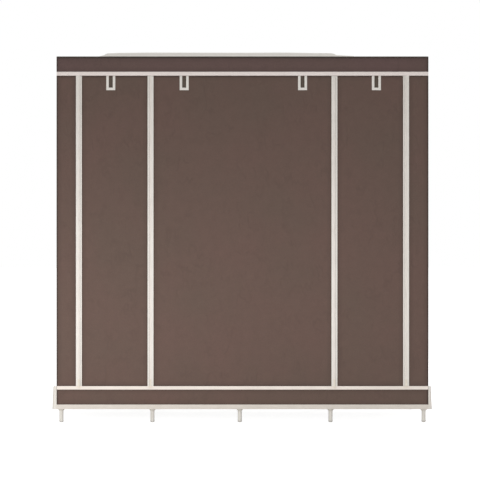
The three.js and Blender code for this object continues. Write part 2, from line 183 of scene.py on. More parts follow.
class Finish:
    """A material whose nodes are made one by one."""

    def __init__(self, name, colour, roughness, **settings):
        self.material = bpy.data.materials.new(name)
        self.material.use_nodes = True
        self.material.diffuse_color = colour
        self.tree = self.material.node_tree
        self.shader = self.tree.nodes["Principled BSDF"]
        self.shader.inputs["Base Color"].default_value = colour
        self.shader.inputs["Roughness"].default_value = roughness
        for socket, value in settings.items():
            self.shader.inputs[socket.replace("_", " ")].default_value = value
        self.relief = None

    def feed(self, socket, value):
        if isinstance(value, bpy.types.NodeSocket):
            self.tree.links.new(value, socket)
        else:
            socket.default_value = value

    def node(self, kind, links, **settings):
        made = self.tree.nodes.new(kind)
        for key, value in settings.items():
            setattr(made, key, value)
        for socket, value in links.items():
            self.feed(made.inputs[socket], value)
        return made

    def place(self, source, scale=(1, 1, 1), turn=(0, 0, 0)):
        """Object or UV coordinates in metres, turned and scaled."""
        coordinates = self.node("ShaderNodeTexCoord", {}).outputs[source]
        links = {"Vector": coordinates, "Scale": scale, "Rotation": turn}
        return self.node("ShaderNodeMapping", links).outputs["Vector"]

    def attribute(self, name):
        return self.node("ShaderNodeAttribute", {}, attribute_name=name).outputs["Fac"]

    def noise(self, vector, scale, detail=2.0, rough=0.5):
        links = {"Vector": vector, "Scale": scale, "Detail": detail, "Roughness": rough}
        return self.node("ShaderNodeTexNoise", links).outputs["Fac"]

    def wave(self, vector, count, distortion=0.6):
        """Bands across the second coordinate, with count of them in a metre."""
        links = {"Vector": vector, "Scale": count / wave_bands, "Distortion": distortion}
        return self.node("ShaderNodeTexWave", links, bands_direction="Y").outputs["Fac"]

    def ramp(self, value, low, high, start=0.0, end=1.0):
        links = {"Value": value, "From Min": low, "From Max": high, "To Min": start, "To Max": end}
        return self.node("ShaderNodeMapRange", links).outputs["Result"]

    def times(self, first, second):
        return self.node("ShaderNodeMath", {0: first, 1: second}, operation="MULTIPLY").outputs[0]

    def blended(self, share, first, second):
        links = {0: share, 6: first, 7: second}
        return self.node("ShaderNodeMix", links, data_type="RGBA").outputs[2]

    def colour(self, value):
        self.feed(self.shader.inputs["Base Color"], value)

    def rough(self, value):
        self.feed(self.shader.inputs["Roughness"], value)

    def bump(self, height, distance, strength):
        """Adds a layer of relief, in metres, over the ones before it."""
        links = {"Height": height, "Distance": distance, "Strength": strength}
        if self.relief is not None:
            links["Normal"] = self.relief
        self.relief = self.node("ShaderNodeBump", links).outputs["Normal"]
        self.feed(self.shader.inputs["Normal"], self.relief)


def nonwoven(name, warm, cool, deep):
    """Spunbond cloth: bonded dots in a diamond grid, fibres, uneven dye, creases and seam pulls,
    and painted shade in the creases and beside the seams.
    """
    finish = Finish(
        name, warm, 0.92, Sheen_Weight=0.08, Sheen_Roughness=0.6, Specular_IOR_Level=0.16
    )
    body = finish.place("Object")
    base = finish.blended(finish.ramp(finish.noise(body, 3.4, 2.5), 0.35, 0.66), warm, cool)
    # Crease lines: their relief, and painted shade in them
    line = finish.noise(finish.place("Object", scale=(1, 1, 0.55)), 24, 1)
    crease_and_shade = finish.times(finish.ramp(line, 0.41, 0.5), finish.ramp(line, 0.59, 0.5))
    crease_and_shade = finish.times(crease_and_shade, finish.ramp(finish.noise(body, 15, 2), 0.48, 0.66))
    diamonds = finish.place("UV", turn=(0, 0, math.radians(45)))
    links = {"Vector": diamonds, "Scale": 620.0, "Randomness": 0.0}
    dots = finish.node("ShaderNodeTexVoronoi", links).outputs["Distance"]
    bonded = finish.ramp(dots, 0.22, 0.34)
    fibres = finish.noise(finish.place("UV", scale=(1, 0.45, 1)), 1500, 3, 0.65)
    near = finish.attribute("seam_near")
    for value, low, high, start, end in (
        (finish.noise(body, 26, 3), 0.3, 0.75, 0, 0.13),
        (finish.noise(body, 170, 3, 0.6), 0.36, 0.7, 0, 0.15),
        # painted shade in the creases
        (crease_and_shade, 0, 1, 0, 0.16),
        (bonded, 0, 1, 0.3, 0),
        (fibres, 0.3, 0.8, 0, 0.1),
        # painted shade beside the seams, darkest right at their edge
        (near, 0.2 * seam_reach, seam_reach, 0, 0.36),
        (near, 0.8 * seam_reach, seam_reach, 0, 0.5),
    ):
        base = finish.blended(finish.ramp(value, low, high, start, end), base, deep)
    finish.colour(base)
    finish.rough(finish.ramp(bonded, 0, 1, 0.74, 0.94))
    puckers = finish.noise(finish.place("UV"), 115, 2)
    finish.bump(finish.times(puckers, finish.ramp(near, 0, seam_reach)), 0.0016, 0.6)
    finish.bump(finish.noise(body, 16, 3), 0.0012, 0.35)
    finish.bump(crease_and_shade, 0.0014, 0.6)
    finish.bump(bonded, 0.0002, 0.9)
    finish.bump(fibres, 0.00008, 0.6)
    return finish.material


def woven_tape(name, pale, shade, ribs=700.0):
    """Ribbed tape: fine ribs across it, a little fuzz and slightly uneven dye."""
    finish = Finish(name, pale, 0.85, Sheen_Weight=0.08, Specular_IOR_Level=0.25)
    along = finish.place("UV")
    rib = finish.wave(along, ribs)
    cloud = finish.noise(finish.place("Object"), 11, 3)
    base = finish.blended(finish.ramp(cloud, 0.35, 0.75, 0, 0.45), pale, shade)
    base = finish.blended(finish.ramp(rib, 0, 1, 0.5, 0), base, shade)
    finish.colour(base)
    finish.bump(cloud, 0.0006, 0.3)
    finish.bump(rib, 0.00018, 0.8)
    finish.bump(finish.noise(along, 2600, 2), 0.00006, 0.5)
    return finish.material


def powder_coat(name, pale, shade):
    """White powder coat with its orange peel, dust and a few dull rub marks."""
    finish = Finish(name, pale, 0.36, Coat_Weight=0.2, Coat_Roughness=0.25)
    body = finish.place("Object")
    dust = finish.ramp(finish.noise(body, 38, 4), 0.45, 0.85, 0, 0.5)
    finish.colour(finish.blended(dust, pale, shade))
    finish.rough(finish.ramp(finish.noise(body, 120, 3), 0.3, 0.75, 0.28, 0.5))
    finish.bump(finish.noise(body, 900, 1), 0.00005, 0.6)
    return finish.material


def moulded(name, pale, shade, roughness=0.5):
    """Moulded plastic with a fine spark grain and faint flow marks."""
    finish = Finish(name, pale, roughness)
    flow = finish.noise(finish.place("Object", scale=(1, 1, 0.3)), 60, 3)
    finish.colour(finish.blended(finish.ramp(flow, 0.4, 0.8, 0, 0.55), pale, shade))
    finish.rough(finish.ramp(flow, 0.3, 0.8, roughness - 0.07, roughness + 0.1))
    finish.bump(finish.noise(finish.place("Object"), 1700, 2), 0.00005, 0.7)
    return finish.material


def lacquered(name, pale, bare):
    """Die-cast zinc under cream lacquer, rubbed through in small spots."""
    finish = Finish(name, pale, 0.32, Coat_Weight=0.4, Coat_Roughness=0.15)
    body = finish.place("Object")
    rubbed = finish.ramp(finish.noise(body, 420, 4, 0.6), 0.66, 0.7)
    finish.colour(finish.blended(rubbed, pale, bare))
    finish.feed(finish.shader.inputs["Metallic"], rubbed)
    finish.rough(finish.ramp(finish.noise(body, 300, 2), 0.3, 0.7, 0.24, 0.42))
    finish.bump(finish.noise(body, 650, 2), 0.00008, 0.4)
    return finish.material


def spun_thread(name, pale, shade):
    """Sewing thread with its twist."""
    finish = Finish(name, pale, 0.75, Sheen_Weight=0.05)
    twist = finish.wave(finish.place("Object", turn=(0.6, 0.5, 0.4)), 1900, 1.0)
    finish.colour(finish.blended(twist, shade, pale))
    finish.bump(twist, 0.0001, 0.5)
    return finish.material


def dyed(maker, name, *shades, **more):
    """A finish from colours that are given from 0 to 255."""
    return maker(name, *(linear(*shade) for shade in shades), **more)


brown_cloth = dyed(nonwoven, "brown_nonwoven", (111, 89, 81), (107, 89, 80), (80, 65, 59))
header_cloth = dyed(nonwoven, "brown_header_nonwoven", (109, 87, 84), (107, 87, 82), (78, 64, 61))
# A darker brown for the roof's edge roll: painted shade along the cover's top edge
edge_shade_cloth = dyed(nonwoven, "brown_edge_nonwoven", (80, 71, 63), (76, 68, 61), (59, 52, 46))
corner_cloth = dyed(nonwoven, "brown_corner_nonwoven", (90, 77, 71), (86, 75, 69), (64, 54, 49))
tab_cloth = dyed(nonwoven, "brown_tab_nonwoven", (104, 92, 82), (101, 90, 81), (77, 67, 59))
pale_cloth = dyed(nonwoven, "pale_nonwoven", (224, 221, 215), (218, 215, 209), (188, 184, 178))
roof_finish = dyed(
    nonwoven, "pale_roof_nonwoven", (242, 238, 231), (239, 235, 228), (216, 211, 204)
)
cream_tape = dyed(woven_tape, "cream_tape", (241, 236, 229), (227, 221, 213))
header_tape = dyed(woven_tape, "cream_header_tape", (248, 237, 232), (236, 223, 218))
trim_tape = dyed(woven_tape, "cream_trim_tape", (246, 236, 227), (230, 219, 209))
hem_tape = dyed(woven_tape, "cream_hem_tape", (228, 220, 211), (208, 200, 190))
end_cloth = dyed(woven_tape, "pale_end_cloth", (231, 226, 219), (215, 209, 200), ribs=420.0)
# A darker pale for the rolls along the skirt ends' outer edges: painted shade on those edges
end_edge_painted_shade = dyed(woven_tape, "pale_end_edge", (207, 201, 193), (190, 183, 174), ribs=420.0)
coil_plastic = dyed(moulded, "cream_coil", (244, 237, 231), (226, 218, 210), roughness=0.42)
tube_coat = dyed(powder_coat, "white_tube_coat", (244, 240, 234), (222, 217, 209))
connector_plastic = dyed(moulded, "white_connector", (242, 238, 231), (224, 219, 211))
foot_plastic = dyed(moulded, "white_foot", (223, 219, 211), (201, 195, 186))
bell_plastic = dyed(moulded, "pale_bell", (213, 208, 199), (190, 185, 176))
tip_rubber = dyed(moulded, "pale_rubber_tip", (206, 202, 196), (186, 182, 175), roughness=0.75)
slider_lacquer = dyed(lacquered, "cream_lacquer", (236, 227, 213), (150, 146, 140))
cream_thread = dyed(spun_thread, "cream_thread", (244, 237, 230), (212, 203, 193))


# Mesh helpers

def fresh():
    """An empty bmesh with the cloth's own map, in metres, and its nearness to seams."""
    bm = bmesh.new()
    bm.loops.layers.uv.new("cloth")
    bm.verts.layers.float.new("seam_near")
    return bm


def gather(parts):
    """All parts in the first one."""
    whole = parts[0]
    for part in parts[1:]:
        shell = bpy.data.meshes.new("part")
        part.to_mesh(shell)
        part.free()
        whole.from_mesh(shell)
        bpy.data.meshes.remove(shell)
    return whole


def finished(bm, index):
    """bm with all its faces in one of the piece's finishes."""
    for face in bm.faces:
        face.material_index = index
    return bm


def piece(bm, name, finishes, body, stands_for=(), sharp=38):
    """Makes bm a piece that moves with a body, smooth but for its sharp edges."""
    for face in bm.faces:
        face.smooth = True
    for edge in bm.edges:
        edge.smooth = edge.calc_face_angle(0) < math.radians(sharp)
    mesh = bpy.data.meshes.new(name)
    bm.to_mesh(mesh)
    bm.free()
    for finish in finishes:
        mesh.materials.append(finish)
    made = bpy.data.objects.new(name, mesh)
    bpy.context.scene.collection.objects.link(made)
    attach(made, body)
    if stands_for:
        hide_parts(*stands_for)
    return made


def sewn(seams, name, body):
    """Rows of stitches as one piece."""
    return piece(gather(seams), name, [cream_thread], body)


def stood(bm, base, axis):
    """Stands bm, made upright at the origin, at base and along the axis."""
    turn = axis.to_track_quat("Z", "Y").to_matrix().to_4x4()
    bmesh.ops.transform(bm, matrix=Matrix.Translation(base) @ turn, verts=bm.verts)
    return bm


def faced(bm, way, counts=lambda face: True):
    """Turns a sheet over where the faces that count don't look the given way."""
    bm.normal_update()
    if sum(face.normal.dot(way) for face in bm.faces if counts(face)) < 0:
        bmesh.ops.reverse_faces(bm, faces=bm.faces)
    return bm


def ease(value):
    """A smooth rise from 0 to 1."""
    value = min(max(value, 0), 1)
    return value * value * (3 - 2 * value)


def place_map(bm, width, lengths):
    """Turns the grid's own map into metres across and along the cloth."""
    uv = bm.loops.layers.uv.active
    count = len(lengths) - 1
    for face in bm.faces:
        for corner in face.loops:
            u, v = corner[uv].uv
            corner[uv].uv = (u * width, lengths[round(v * count)])


def sheet_of_cloth(size, place, way, borders, relief=None, bands=(), step=cloth_step):
    """A sheet cut to size. place gives a point from the width, the height and the relief there.

    borders are the widths that trims cover at the left, the right, below and above, and bands
    are the middles and half widths of the trims that run across it.
    """
    width, height = size
    left, far, low, high = borders
    bm = fresh()
    near = bm.verts.layers.float["seam_near"]
    across, rows_up = (max(2, round(length / step)) for length in size)
    bmesh.ops.create_grid(bm, x_segments=across, y_segments=rows_up, size=0.5, calc_uvs=True)
    place_map(bm, width, [height * row / rows_up for row in range(rows_up + 1)])
    for vertex in bm.verts:
        p, q = (vertex.co.x + 0.5) * width, (vertex.co.y + 0.5) * height
        vertex.co = place(p, q, relief(p, q) if relief else 0)
        distance = min(p - left, width - far - p, q - low, height - high - q)
        for middle, half in bands:
            distance = min(distance, abs(q - middle) - half)
        vertex[near] = min(max(0, seam_reach - distance), seam_reach)
    return faced(bm, way)


def thickened(made, thickness=cloth_thickness, offset=-1):
    wall = made.modifiers.new("thickness", "SOLIDIFY")
    wall.thickness = thickness
    wall.offset = offset
    return made


broad_grain = (0.31, 0.55)  # width and height of the cloth's waves
fine_grain = (0.10, 0.21)
upright_grain = (0.13, 1.2)
fold_grain = (0.19, 1.5)
fold_rise = 0.0034
pull_reach = 0.22           # from a corner to the middle of its pulls
pull_rise = 0.0019


def slack(size, still, run, seed, bulge=0.0016, broad=0.0022, fine=0.0008, grain=broad_grain):
    """The relief of hung cloth: nil in its still borders, and eased in over a run beyond them."""
    width, height = size
    left, far, low, high = still

    def relief(p, q):
        free = ease((p - left) / run) * ease((width - far - p) / run)
        free *= ease((q - low) / run) * ease((height - high - q) / run)
        wide = noise.noise(Vector((p / grain[0], q / grain[1], seed)))
        small = noise.noise(Vector((p / fine_grain[0], q / fine_grain[1], seed + 5.7)))
        return free * (bulge + broad * wide + fine * small)

    return relief


def hung_folds(size, still, run, seed, bulge, broad):
    """The relief of a slack panel: upright folds that grow downwards, and its corners' pulls."""
    width, height = size
    base = slack(size, still, run, seed, bulge, broad, 0.0012, upright_grain)
    fold_width, fold_height = fold_grain

    def relief(p, q):
        side = min(p, width - p)
        drop = height - still[3] - q
        line = Vector((p / fold_width + 0.2 * q, q / fold_height, seed + 2.2))
        ridge = 1 - 3.2 * abs(noise.noise(line))
        fold = fold_rise * max(ridge, 0) ** 2 * ease(drop / 0.5) * ease((q - still[2]) / 0.25)
        reach = math.hypot(side, drop)
        angle = math.atan2(max(drop, 0), side)
        pull = math.exp(-((reach - pull_reach) ** 2) / 0.03) * math.sin(angle * 11 + seed)
        held = ease(side / 0.05) * ease(drop / 0.05)
        hang = base(p, q) * (0.5 + 0.5 * ease(1.6 * drop / height)) + pull_rise * pull * held
        return hang + fold * ease(side / 0.06)

    return relief


def tape_profile(width, thickness=tape_thickness, grooves=True):
    """A tape's section, across and outwards, with soft edges and a groove by each seam."""
    half, e, g = width / 2, min(edge_round, thickness / 3), seam_inset
    dip = thickness - groove_depth
    front = [(-half + e, thickness)]
    if grooves:
        front += [(g - half - e, thickness), (g - half, dip), (g - half + 2 * e, thickness)]
        front += [(half - g - 2 * e, thickness), (half - g, dip), (half - g + e, thickness)]
    front += [(half - e, thickness)]
    return [
        (-half + e, 0), (-half, e), (-half, thickness - e), *front,
        (half, thickness - e), (half, e), (half - e, 0),
    ]


def hem_profile(height):
    """A folded hem's section with a rolled lower edge."""
    half, e, g = height / 2, edge_round, seam_inset
    thickness, bead = tape_thickness, hem_bead
    dip = thickness - groove_depth
    roll = []
    for degrees in (-60, -25, 10, 45, 80):
        a = math.radians(degrees)
        depth = thickness * 0.55 + (bead + thickness * 0.25) * math.sin(a)
        roll.append((-half + bead * (1 - math.cos(a)), depth))
    return [
        (-half + 2 * bead, 0), *roll, (-half + 3 * bead, dip), (-half + 4 * bead, thickness),
        (half - g - 2 * e, thickness), (half - g, dip), (half - g + e, thickness),
        (half - e, thickness), (half, thickness - e), (half, e), (half - e, 0),
    ]


def roll_profile(radius, sides=10):
    """The round section of a seam that is turned over and sewn into a roll."""
    turns = [2 * math.pi * i / sides for i in range(sides)]
    return [(radius * math.cos(a), radius * math.sin(a)) for a in turns]


def swept(profile, stations, loop=False):
    """A closed section carried along stations: a centre, an across and an outwards vector each."""
    bm = fresh()
    sides = len(profile)
    runs = len(stations) if loop else len(stations) - 1
    bmesh.ops.create_grid(bm, x_segments=sides, y_segments=runs, size=0.5, calc_uvs=True)
    girth, length = [0], [0]
    for i in range(sides):
        girth.append(girth[-1] + math.dist(profile[i], profile[(i + 1) % sides]))
    for j in range(runs):
        length.append(length[-1] + (stations[(j + 1) % len(stations)][0] - stations[j][0]).length)
    uv = bm.loops.layers.uv.active
    for face in bm.faces:
        for corner in face.loops:
            u, v = corner[uv].uv
            corner[uv].uv = (girth[round(u * sides)], length[round(v * runs)])
    for vertex in bm.verts:
        a, b = profile[round((vertex.co.x + 0.5) * sides) % sides]
        centre, across, outwards = stations[round((vertex.co.y + 0.5) * runs) % len(stations)]
        vertex.co = centre + across * a + outwards * b
    bmesh.ops.remove_doubles(bm, verts=bm.verts, dist=weld)
    if not loop:
        rims = [edge for edge in bm.edges if edge.is_boundary]
        bmesh.ops.holes_fill(bm, edges=rims, sides=0)
    bmesh.ops.recalc_face_normals(bm, faces=bm.faces)
    return bm


def straight(start, end, across, outwards, sway=0.0, seed=0.0):
    """Stations of a straight tape that sways outwards a little."""
    run = end - start
    count = max(2, round(run.length / tape_step))
    made = []
    for i in range(count + 1):
        share = i / count
        free = sway * ease(share * 8) * ease((1 - share) * 8)
        lift = free * (0.5 + 0.5 * noise.noise(Vector((share * run.length / 0.07, seed, 0))))
        made.append((start + run * share + outwards * lift, across, outwards))
    return made


def repeated(bm, count, step):
    """Repeats what bm holds, count times in all, each one step further on."""
    sizes = [len(bm.verts), len(bm.edges), len(bm.faces)]
    made = 1
    while made < count:
        take = min(made, count - made)
        kept = []
        for found, size in zip((bm.verts, bm.edges, bm.faces), sizes):
            found.ensure_lookup_table()
            kept += found[: take * size]
        copies = bmesh.ops.duplicate(bm, geom=kept)["geom"]
        new = [item for item in copies if isinstance(item, bmesh.types.BMVert)]
        bmesh.ops.translate(bm, verts=new, vec=step * made)
        made += take
    return bm


def stitches(start, end, outwards):
    """A row of stitches that half sink into the tape."""
    run = end - start
    count = max(1, round(run.length / stitch_pitch))
    pitch = run.length / count
    bm = fresh()
    bmesh.ops.create_uvsphere(bm, u_segments=6, v_segments=4, radius=0.5)
    bmesh.ops.scale(bm, verts=bm.verts, vec=(stitch_length, thread_width, thread_width))
    bmesh.ops.translate(bm, verts=bm.verts, vec=(pitch / 2, 0, 0))
    repeated(bm, count, Vector((pitch, 0, 0)))
    along = run.normalized()
    turn = Matrix((along, outwards.cross(along), outwards)).transposed().to_4x4()
    bmesh.ops.transform(bm, matrix=Matrix.Translation(start) @ turn, verts=bm.verts)
    return bm


def bar(start, end, radius, sides=round_sides, soft=0.0):
    """A round bar, with softened ends where soft is given."""
    run = end - start
    bm = fresh()
    bmesh.ops.create_cone(
        bm, cap_ends=True, segments=sides, radius1=radius, radius2=radius, depth=run.length
    )
    if soft:
        rims = [e for e in bm.edges if abs(e.verts[0].co.z - e.verts[1].co.z) < 1e-9]
        bmesh.ops.bevel(
            bm, geom=rims, offset=soft, segments=2, profile=0.5, affect="EDGES", material=-1
        )
    return stood(bm, (start + end) / 2, run)


def turned(profile, base, axis, ring=True):
    """A lathe-turned form. The profile gives radius and height along the axis."""
    bm = fresh()
    points = [bm.verts.new((radius, 0, height)) for radius, height in profile]
    pairs = list(zip(points, points[1:]))
    if ring:
        pairs.append((points[-1], points[0]))
    for pair in pairs:
        bm.edges.new(pair)
    bmesh.ops.spin(
        bm, geom=bm.verts[:] + bm.edges[:], cent=(0, 0, 0), axis=(0, 0, 1),
        angle=2 * math.pi, steps=round_sides, use_merge=True,
    )
    bmesh.ops.remove_doubles(bm, verts=bm.verts, dist=weld)
    bmesh.ops.recalc_face_normals(bm, faces=bm.faces)
    return stood(bm, base, axis)


def extent(node):
    """A node's lowest and highest corner and its middle."""
    low, high = (Vector(corner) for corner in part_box(node))
    return low, high, (low + high) / 2


# Poles

columns = [extent(f"pole_front_{i}")[2].x for i in range(1, 6)]
rows = [extent(f"pole_{row}_1")[2].y for row in ("front", "rear")]
pole_top = extent("pole_front_1")[1].z
base_level = extent("base_frame")[2].z
hem_low = extent("skirt_binding")[0].z
foot_top = base_level - collar_half - slip
foot_radius = 0.0099
tip_height = 0.0085         # of the soft tip
tip_lip = 0.0004
sole_round = 0.0062
bell_flare = 0.0048         # towards the front and the back
bell_spread = 0.009         # to the left and the right
bell_height = 0.012


def foot(place):
    """A foot with a rounded soft tip, and a bell that opens under the cover's hem."""
    bell_top = hem_low - slip
    bell_start = bell_top - bell_height
    shaft = foot_radius - tip_lip
    profile = [(0, 0)]
    for step in range(arc_steps + 1):
        a = step / arc_steps * math.pi / 2
        flat = foot_radius - sole_round
        profile.append((flat + sole_round * math.sin(a), sole_round * (1 - math.cos(a))))
    profile += [(foot_radius, tip_height), (shaft, tip_height + tip_lip)]
    for step in range(arc_steps + 1):
        share = step / arc_steps
        height = bell_start + 0.9 * bell_height * share
        profile.append((shaft + bell_flare * share**1.5, height))
    profile += [
        (shaft + bell_flare, bell_top), (socket_radius, bell_top + 0.5 * slip),
        (socket_radius, foot_top - lip), (socket_radius - lip, foot_top),
        (tube_radius - tube_wall, foot_top), (0, foot_top),
    ]
    bm = turned(profile, place, up, ring=False)
    for vertex in bm.verts:
        if bell_start < vertex.co.z < bell_top + 0.2 * slip:
            radius = math.dist(vertex.co.xy, place.xy)
            opened = (radius - shaft) / bell_flare
            wider = (shaft + bell_spread * opened) / radius
            vertex.co.x = place.x + (vertex.co.x - place.x) * wider
    for face in bm.faces:
        height = face.calc_center_median().z
        if height < tip_height:
            face.material_index = 2
        elif bell_start < height < bell_top:
            face.material_index = 3
    return bm


def pole_tube(place):
    inner = tube_radius - tube_wall
    profile = [
        (inner, foot_top), (tube_radius, foot_top), (tube_radius, pole_top - 0.5 * tube_wall),
        (tube_radius - 0.4 * tube_wall, pole_top), (inner, pole_top),
    ]
    return turned(profile, place, up)


for row, y in zip(("front", "rear"), rows):
    for i, x in enumerate(columns, 1):
        place = Vector((x, y, 0))
        pole = gather([foot(place), finished(pole_tube(place), 1)])
        finishes = [foot_plastic, tube_coat, tip_rubber, bell_plastic]
        node = f"pole_{row}_{i}"
        piece(pole, f"{node}_tube", finishes, "wardrobe", [node])


# Rails and connectors

def collar(x, y, level, cap_top=None):
    """The ring of a connector with a bead at each mouth, or closed over the pole's end."""
    bore, r, h = tube_radius + slip, collar_radius, collar_half
    bead = r - bead_depth
    low = [(bore, -h), (r - lip, -h), (r, lip - h), (r, -0.8 * h), (bead, -0.76 * h)]
    place = Vector((x, y, level))
    if cap_top is None:
        high = [(bead, 0.76 * h), (r, 0.8 * h), (r, h - lip), (r - lip, h), (bore, h)]
        return turned(low + high, place, up)
    top, room = cap_top - level, pole_top - level + slip
    high = [
        (bead, top - cap_bead), (r, top - cap_rim), (r, top - 2 * lip),
        (r - 0.6 * lip, top - 0.6 * lip), (r - 2 * lip, top), (0, top),
    ]
    return turned([(0, room), (bore, room)] + low + high, place, up, ring=False)


def socket(centre, way, reach=socket_reach, radius=socket_radius):
    """A socket of a connector, with a thicker mouth, from the collar outwards."""
    start, bore = collar_radius * 0.6, tube_radius + slip
    waist, mouth = radius - mouth_depth, reach - mouth_length
    profile = [
        (0, start), (waist, start), (waist, mouth), (radius, mouth + mouth_slope),
        (radius, reach - lip / 2), (radius - lip / 2, reach), (bore, reach),
        (bore, reach - socket_hollow), (0, reach - socket_hollow),
    ]
    return turned(profile, centre, way, ring=False)


def tee(x, way, level):
    """A saddle round the depth rail with a socket for the end of a hanging rod."""
    centre = Vector((x, 0, level))
    r, half = collar_radius, saddle_half
    wrap = [
        (tube_radius, -half), (r - lip, -half), (r, lip - half),
        (r, half - lip), (r - lip, half), (tube_radius, half),
    ]
    return gather([turned(wrap, centre, back), socket(centre, right * way, tee_reach, r)])


def rail_frame(node, level, places, cap_top=None, tees=()):
    """All rails of a level, and the connectors that hold them."""
    plastic, tubes = [], []
    tube_start = socket_reach - tube_overlap
    for y, inwards in zip(rows, (back, -back)):
        for x in places:
            centre = Vector((x, y, level))
            ways = [inwards]
            if x != places[0]:
                ways.append(-right)
            if x != places[-1]:
                ways.append(right)
            plastic.append(collar(x, y, level, cap_top))
            plastic += [socket(centre, way) for way in ways]
        for x0, x1 in zip(places, places[1:]):
            start, end = Vector((x0 + tube_start, y, level)), Vector((x1 - tube_start, y, level))
            tubes.append(bar(start, end, tube_radius))
    for x in places:
        start = Vector((x, rows[0] + tube_start, level))
        tubes.append(bar(start, Vector((x, rows[1] - tube_start, level)), tube_radius))
    plastic += [tee(x, way, level) for x, way in tees]
    shell = gather([finished(gather(plastic), 0), finished(gather(tubes), 1)])
    finishes = [connector_plastic, tube_coat]
    piece(shell, f"{node}_tubes", finishes, "wardrobe", [node])


top_level = extent("hanging_rod_left")[2].z
left_inner, middle_pole, right_inner = columns[1:4]
rod_ends = [(left_inner, 1), (middle_pole, -1), (middle_pole, 1), (right_inner, -1)]
rail_frame("base_frame", base_level, columns)
rail_frame("top_frame", top_level, columns, extent("top_frame")[1].z, rod_ends)
levels = [base_level]
for tier in (1, 2, 3):
    levels.append(extent(f"shelf_frame_left_{tier}")[2].z)
    rail_frame(f"shelf_frame_left_{tier}", levels[-1], columns[:2])
    rail_frame(f"shelf_frame_right_{tier}", levels[-1], columns[3:])
for side in ("left", "right"):
    node = f"hanging_rod_{side}"
    low, high, middle = extent(node)
    start, end = (Vector((x, middle.y, middle.z)) for x in (low.x, high.x))
    rod = bar(start, end, tube_radius, soft=rod_soft)
    piece(rod, f"{node}_tube", [tube_coat], "wardrobe", [node])


# Shelves: a sheet each, turned round the front and rear rails and sewn into sleeves

sheet_ring = tube_radius + 0.0011   # the sheet's turn round a rail
sleeve_seam = 0.024         # from the middle of a rail
sleeve_gap = socket_reach + lip     # beside the sleeves, for the connectors
sleeve_tuck = 0.0016        # how far below the sheet a sleeve's edge lies
notch = rows[1] - socket_reach - lip
flat_start = 0.006          # from the middle of a rail to where the sheet runs flat
turn_start, turn_sweep = -35, 235   # degrees, of the sheet round a rail
turn_points = 13
flat_points = 37
shelf_columns = 40
shelf_thickness = 0.0008
shelf_sag = 0.0032
shelf_wave = 0.0014
sag_run = 0.12              # from a shelf's end to where it sags in full
stitch_margin = 0.004       # beyond the ends of a seam


def shelf_path(level):
    """The sheet's section: round the front rail, flat to the rear rail and round it."""
    front = rows[0]
    path = [(front + sleeve_seam, level + sheet_ring - sleeve_tuck)]
    for step in range(turn_points):
        a = math.radians(turn_start - step * turn_sweep / (turn_points - 1))
        path.append((front + sheet_ring * math.cos(a), level + sheet_ring * math.sin(a)))
    turn = list(path)
    inside = flat_points - 4
    flat = [notch * (2 * step / (inside - 1) - 1) for step in range(inside)]
    flat = [-notch - lip / 2, *flat, notch + lip / 2]
    flat = [front + flat_start, *flat, -front - flat_start]
    path += [(y, level + sheet_ring) for y in flat]
    return path + [(-y, z) for y, z in reversed(turn)]


def shelf(node, level, seed):
    low, high, _ = extent(node)
    path = shelf_path(level)
    sleeve_left, sleeve_right = low.x + sleeve_gap, high.x - sleeve_gap
    lengths = [0]
    for a, b in zip(path, path[1:]):
        lengths.append(lengths[-1] + math.dist(a, b))
    count = len(path) - 1
    width = high.x - low.x
    bm = fresh()
    near = bm.verts.layers.float["seam_near"]
    bmesh.ops.create_grid(
        bm, x_segments=shelf_columns, y_segments=count, size=0.5, calc_uvs=True
    )
    place_map(bm, width, lengths)
    for vertex in bm.verts:
        share = vertex.co.x + 0.5
        j = round((vertex.co.y + 0.5) * count)
        y, z = path[j]
        on_top = turn_points < j < count - turn_points
        wide = on_top and abs(y) < notch + lip / 4
        start, end = (low.x, high.x) if wide else (sleeve_left, sleeve_right)
        x = start + (end - start) * share
        if on_top:
            free = ease((x - low.x) / sag_run) * ease((high.x - x) / sag_run)
            free *= ease((rows[1] - collar_radius - abs(y)) / 0.1)
            wave = noise.noise(Vector((x / 0.09, y / 0.11, seed)))
            z -= free * (shelf_sag + shelf_wave * wave)
        # nearness to the sleeve seams, where the cloth's finish paints shade
        vertex[near] = max(0, 0.8 * seam_reach - 2 * abs(abs(y) - rows[1] + sleeve_seam))
        vertex.co = (x, y, z)
    faced(bm, up, lambda face: abs(face.calc_center_median().y) < notch)
    made = piece(bm, f"{node}_cloth", [pale_cloth], "wardrobe", [node], sharp=60)
    thickened(made, shelf_thickness, 0)
    seams = []
    for y in (rows[0] + sleeve_seam, rows[1] - sleeve_seam):
        top = level + sheet_ring + shelf_thickness / 2
        start = Vector((sleeve_left + stitch_margin, y, top))
        run = right * (sleeve_right - sleeve_left - 2 * stitch_margin)
        seams.append(stitches(start, start + run, up))
    seam = sewn(seams, f"{node}_stitches", "wardrobe")


for side, seed in (("left", 9), ("right", 21)):
    for tier, level in enumerate(levels):
        shelf(f"shelf_{side}_{tier + 1}", level, seed + tier)
for i in (1, 2):
    shelf(f"shelf_middle_{i}", base_level, 30 + i)


# Cover: panels of brown cloth

half_x = extent("roof")[1].x
half_y = extent("roof")[1].y
header_trim_low, header_trim_high, header_trim_middle = extent("header_binding")
header_trim_width = header_trim_high.z - header_trim_low.z
tape_wide = extent("zip_tape_left")[1].x - extent("zip_tape_left")[0].x
tape_narrow = 0.0072
tab_zone = 0.072            # from the header trim down, where the tabs lie on the doors
hem_zone = 0.0195
trim_cover = 0.008          # of the skirt's cloth, under its trim and under its hem
panel_edge = 0.002          # that a panel's own seam takes up


